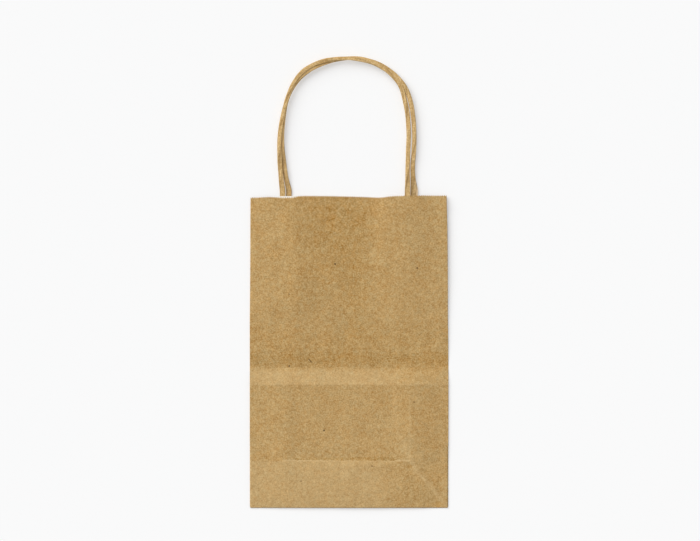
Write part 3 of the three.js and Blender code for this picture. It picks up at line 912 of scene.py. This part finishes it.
def cut_across(bm, faces, axis, places):
    """Cuts these faces at each of the places along one axis, halving the work each time."""
    if not places or not faces:
        return faces
    middle = len(places) // 2
    place = places[middle]
    normal = Vector([float(axis == i) for i in range(3)])
    geometry = set(faces)
    for face in faces:
        geometry.update(face.verts)
        geometry.update(face.edges)
    cut = bmesh.ops.bisect_plane(
        bm, geom=list(geometry), dist=0.001 * MM, plane_co=normal * place, plane_no=normal
    )
    halves = ([], [])
    for part in cut["geom"]:
        if isinstance(part, bmesh.types.BMFace):
            halves[part.calc_center_median()[axis] > place].append(part)
    low = cut_across(bm, halves[0], axis, places[:middle])
    high = cut_across(bm, halves[1], axis, places[middle + 1:])
    return low + high


def spaced(low, high, step, extra=()):
    count = int(round((high - low) / step))
    places = [low + (high - low) * i / count for i in range(1, count)]
    return sorted(set(places) | set(extra))


def load_sheet():
    """A merged copy of the CAD sheet, with its flat triangles joined."""
    bm = bmesh.new()
    bm.from_mesh(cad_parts["bag_sheet"].data)
    bmesh.ops.remove_doubles(bm, verts=bm.verts[:], dist=0.001 * MM)
    bmesh.ops.join_triangles(
        bm, faces=bm.faces[:], angle_face_threshold=0.01, angle_shape_threshold=3.0
    )
    bm.normal_update()
    return bm


def outer_faces(bm, tree):
    """The sheet's faces that are seen from above, and the others."""
    outer = []
    rest = []
    for face in bm.faces:
        centre = face.calc_center_median()
        hit = tree.ray_cast(Vector((centre.x, centre.y, 1.0)), Vector((0, 0, -1)))[0]
        on_top = hit is not None and hit.z - centre.z < 0.02 * MM and face.normal.z > 0.1
        (outer if on_top else rest).append(face)
    return outer, rest


def cut_teeth(bm):
    """Cuts along the mouth, for the points of its toothed edge."""
    band = MOUTH - TOOTH_BAND
    close = [f for f in bm.faces if max(v.co.y for v in f.verts) > MOUTH - AT_EDGE]
    close = cut_across(bm, close, 1, [band])
    close = [f for f in close if f.calc_center_median().y > band]
    first = math.ceil(-HALF / (TOOTH / 2))
    last = math.floor(HALF / (TOOTH / 2))
    cut_across(bm, close, 0, [i * TOOTH / 2 for i in range(first, last + 1)])


def cut_sheet(bm, tree):
    """Cuts the sheet finely on the front panel's outer face and coarsely elsewhere, and tells which
    vertices lie on that face."""
    marks = bm.faces.layers.int.new("outer")
    outer, rest = outer_faces(bm, tree)
    creases_y = [BOTTOM + y * MM for y in CREASES_Y]
    creases_x = [x * MM for x in CREASES_X]
    outer = cut_across(bm, outer, 0, spaced(-HALF, HALF, SEEN_STEP, creases_x))
    outer = cut_across(bm, outer, 1, spaced(BOTTOM, MOUTH, SEEN_STEP, creases_y))
    rest = cut_across(bm, rest, 0, spaced(-HALF, HALF, HIDDEN_STEP))
    cut_across(bm, rest, 1, spaced(BOTTOM, MOUTH, HIDDEN_STEP))
    for face in outer:
        face[marks] = 1
    cut_teeth(bm)
    outer_verts = {v for f in bm.faces if f[marks] for v in f.verts}
    is_outer = np.array([v in outer_verts for v in bm.verts])
    bm.faces.layers.int.remove(marks)
    return is_outer


def make_sheet(bm, stack, tree, material):
    """The whole bag body, from the CAD sheet: finely cut, settled, worn with painted highlights and
    shade, and with a toothed mouth.
    """
    is_outer = cut_sheet(bm, tree)
    points = vertex_points(bm)
    mark_vertices(bm, "front", is_outer)
    # rubbed wear with painted highlights and shade, on the front panel's outer face
    mark_vertices(bm, "pale_wear_and_painted_light", wear_and_painted_light(points[:, 0] / MM, above_fold(points)) * is_outer)

    in_front = points[:, 2] / MM > FRONT_SHARE * stack.top(*within_limits(points))
    tooth = np.abs(2 * np.mod(points[:, 0] / TOOTH, 1.0) - 1)
    at_edge = points[:, 1] > MOUTH - AT_EDGE
    settled = stack.follow(points.copy(), is_outer)
    settled[:, 1] -= np.where(at_edge, (tooth - TOOTH_LIFT) * TOOTH_DEPTH, 0)
    front = bend_lip(settled.copy(), LIP)
    back = bend_lip(settled.copy(), LIP, BACK_LIP_DROP)
    settled = np.where(in_front[:, None], front, back)
    move_vertices(bm, tighten_bottom(inset_sides(settled)))
    sheet = finished(bm, "kraft_bag_sheet", material, sharp=38)
    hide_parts("bag_sheet")
    return sheet


# Patches inside the mouth
PATCH_CELLS = (190, 24)
OVER_CORD = PRESSED_WIDTH / 2 / MM + 0.1  # how far a patch lies level beside a leg's middle
PATCH_SHOULDER = 2.2  # and how far its slope beyond that runs, both in millimetres


def make_patch(name, node, route, stack, material):
    """A paper patch: flat where it has no route, or bent round the legs of the cord on that route."""
    low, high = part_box(node)
    size = high - low
    bm = bmesh.new()
    across, up = PATCH_CELLS
    bmesh.ops.create_grid(bm, x_segments=across, y_segments=up, size=0.5)
    points = vertex_points(bm)
    points[:, 0] = low.x + (points[:, 0] + 0.5) * size.x
    points[:, 1] = low.y + (points[:, 1] + 0.5) * size.y
    points[:, 2] = low.z
    if route is not None:
        over = np.zeros(len(points))
        for leg in (route[0][0], route[-1][0]):
            apart = np.abs(points[:, 0] / MM - leg)
            over = np.maximum(over, 1 - smooth(OVER_CORD, OVER_CORD + PATCH_SHOULDER, apart))
        points[:, 2] += (size.z - PAPER) * (1 - over if "front" in node else over)
    move_vertices(bm, points)
    bmesh.ops.solidify(bm, geom=bm.faces[:], thickness=PAPER)
    lowest = min(v.co.z for v in bm.verts)
    bmesh.ops.translate(bm, verts=bm.verts[:], vec=(0, 0, low.z - lowest))
    move_vertices(bm, bend_lip(stack.follow(vertex_points(bm)), PATCH_LIP))
    bmesh.ops.recalc_face_normals(bm, faces=bm.faces[:])
    patch = finished(bm, name, material)
    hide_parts(node)
    return patch


# Surroundings: floor, world and lamp
FLOOR_REACH = 6
FLOOR_DROP = 0.02 * MM
FLOOR_GLOW = 0.36  # how much of the pale floor the camera sees without its shadows
SKY_COLOUR = (0.975, 0.995, 1.025, 1.0)
SKY_SHARE = 0.4  # of the light on a level surface, and the rest comes from the lamp
BACKDROP = 0.96
LAMP_COLOUR = (1.01, 1.0, 0.985)
LAMP_SPREAD = 58
LIGHT_WAY = Vector((-0.53, 0.53, 0.66)).normalized()


def seen_directly(tree):
    """1 for the rays that show the background: the camera's, mirrored and seen through."""
    path = add(tree, "LightPath")
    seen = sum_up(tree, "MAXIMUM", path.outputs["Is Camera Ray"], path.outputs["Is Glossy Ray"])
    return sum_up(tree, "MAXIMUM", seen, path.outputs["Is Transmission Ray"])


def make_floor():
    bm = bmesh.new()
    bmesh.ops.create_grid(bm, x_segments=1, y_segments=1, size=FLOOR_REACH)
    mesh = bpy.data.meshes.new("floor")
    bm.to_mesh(mesh)
    bm.free()
    floor = bpy.data.objects.new("floor", mesh)
    floor.location.z = -FLOOR_DROP
    bpy.context.scene.collection.objects.link(floor)
    material, tree, shader = new_material("floor")
    shader.inputs["Base Color"].default_value = colour(*FLOOR_COLOUR)
    shader.inputs["Roughness"].default_value = 1.0
    shader.inputs["Specular IOR Level"].default_value = 0.0
    glow = add(tree, "Emission", {"Color": colour(*FLOOR_COLOUR)})
    share = sum_up(tree, "MULTIPLY", seen_directly(tree), FLOOR_GLOW)
    mixed = add(tree, "MixShader", {0: share, 1: shader.outputs[0], 2: glow.outputs[0]})
    tree.links.new(mixed.outputs[0], tree.nodes["Material Output"].inputs["Surface"])
    mesh.materials.append(material)


def make_world():
    world = bpy.data.worlds.new("studio")
    bpy.context.scene.world = world
    world.use_nodes = True
    tree = world.node_tree
    tree.nodes.clear()
    seen = seen_directly(tree)
    soft = add(tree, "Background", {"Color": SKY_COLOUR, "Strength": SKY_SHARE})
    white = add(tree, "Background", {"Color": (1, 1, 1, 1), "Strength": BACKDROP})
    mixed = add(tree, "MixShader", {0: seen, 1: soft.outputs[0], 2: white.outputs[0]})
    add(tree, "OutputWorld", {"Surface": mixed.outputs[0]})


def make_lamp():
    lamp = bpy.data.lights.new("lamp", "SUN")
    lamp.angle = math.radians(LAMP_SPREAD)
    lamp.energy = (1 - SKY_SHARE) * math.pi / LIGHT_WAY.z
    lamp.color = LAMP_COLOUR
    holder = bpy.data.objects.new("lamp", lamp)
    holder.rotation_mode = "QUATERNION"
    holder.rotation_quaternion = LIGHT_WAY.to_track_quat("Z", "Y")
    bpy.context.scene.collection.objects.link(holder)


def make_bag():
    fibres = paper_fibre_group()
    kraft = kraft_material(fibres)
    twisted = cord_material(fibres)
    white = patch_material(fibres)

    sheet = load_sheet()
    tree = BVHTree.FromBMesh(sheet)
    stack = Stack(tree)
    front_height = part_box("front_outer_patch")[0].z - GLUE - PRESSED_CORD / 2
    back_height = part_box("back_outer_patch")[1].z + GLUE + PRESSED_CORD / 2
    for name, node, route, height, rise, seed in (
        ("front_twisted_cord", "front_handle", FRONT_ROUTE, front_height, FRONT_RISE, 0.6),
        ("back_twisted_cord", "back_handle", BACK_ROUTE, back_height, BACK_RISE, 3.4),
    ):
        make_cord(name, node, route, height, rise, seed, stack, twisted)
    make_sheet(sheet, stack, tree, kraft)
    make_patch("front_outer_paper", "front_outer_patch", None, stack, white)
    make_patch("front_inner_paper", "front_inner_patch", FRONT_ROUTE, stack, white)
    make_patch("back_outer_paper", "back_outer_patch", None, stack, white)
    make_patch("back_inner_paper", "back_inner_patch", BACK_ROUTE, stack, white)


make_camera()
make_bag()
make_floor()
make_world()
make_lamp()
bpy.context.scene.view_settings.view_transform = "Standard"
